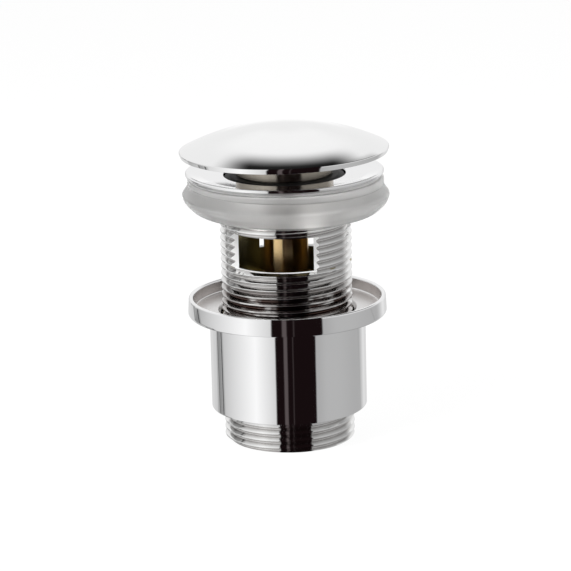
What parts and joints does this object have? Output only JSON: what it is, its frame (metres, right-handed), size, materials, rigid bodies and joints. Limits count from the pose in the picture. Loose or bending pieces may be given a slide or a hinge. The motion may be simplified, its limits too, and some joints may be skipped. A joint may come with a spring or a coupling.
{
  "type": "pop up basin waste",
  "caption": "Press-to-open basin waste with overflow windows, a domed cap, threaded body, flange gasket and a lower sleeve with cup and threaded tail.",
  "frame": {"origin": "on the axis, at the open end of the tail's thread", "axes": "+Z along the axis towards the cap; the overflow windows face -Y and +Y"},
  "size_m": [0.0664, 0.0664, 0.1025],
  "materials": {
    "body_chrome": "bright chrome plate outside, plain turned brass inside",
    "cap_chrome": "bright chrome plate",
    "sleeve_chrome": "bright chrome plate",
    "clear_gasket": "translucent soft moulded rubber",
    "brass": "turned",
    "pale_brass": "polished, thinly plated",
    "steel": "stainless, plain",
    "white_plastic": "moulded acetal",
    "black_rubber": "nitrile, smooth"
  },
  "bodies": {
    "waste_body": {"waste_body": "body_chrome", "flange_gasket": "clear_gasket", "cartridge_housing": "brass", "housing_washer": "steel", "housing_nut": "brass", "return_spring": "steel", "ring_spacer": "white_plastic", "guide_bush": "white_plastic", "wiper_ring": "black_rubber", "bush_circlip": "steel"},
    "track_ring": {"track_ring": "steel", "track_ball_left": "steel", "track_ball_right": "steel"},
    "cap": {"cap_dome": "cap_chrome", "plug_body": "pale_brass", "plug_seal": "black_rubber", "plug_washer": "steel", "cap_nut": "brass", "plunger": "brass", "spring_seat": "steel"},
    "lower_sleeve": {"lower_sleeve": "sleeve_chrome", "sleeve_washer": "black_rubber"}
  },
  "joints": [
    {"name": "cap_press", "type": "slide", "parent": "waste_body", "child": "cap", "axis": [0, 0, 1], "range_m": [-0.0043, 0], "stiffness_N_per_m": 1600, "springref_m": 0.005, "deforming": ["return_spring"]},
    {"name": "track_turn", "type": "hinge", "parent": "waste_body", "child": "track_ring", "pos_m": [0, 0, 0.0598], "axis": [0, 0, 1], "range_deg": [0, 60]},
    {"name": "sleeve_adjust", "type": "slide", "parent": "waste_body", "child": "lower_sleeve", "axis": [0, 0, 1], "range_m": [-0.006, 0.012]}
  ],
  "couplings": [
    {"joint": "track_turn", "follows": "cap_press", "rad_per_m": -227}
  ]
}
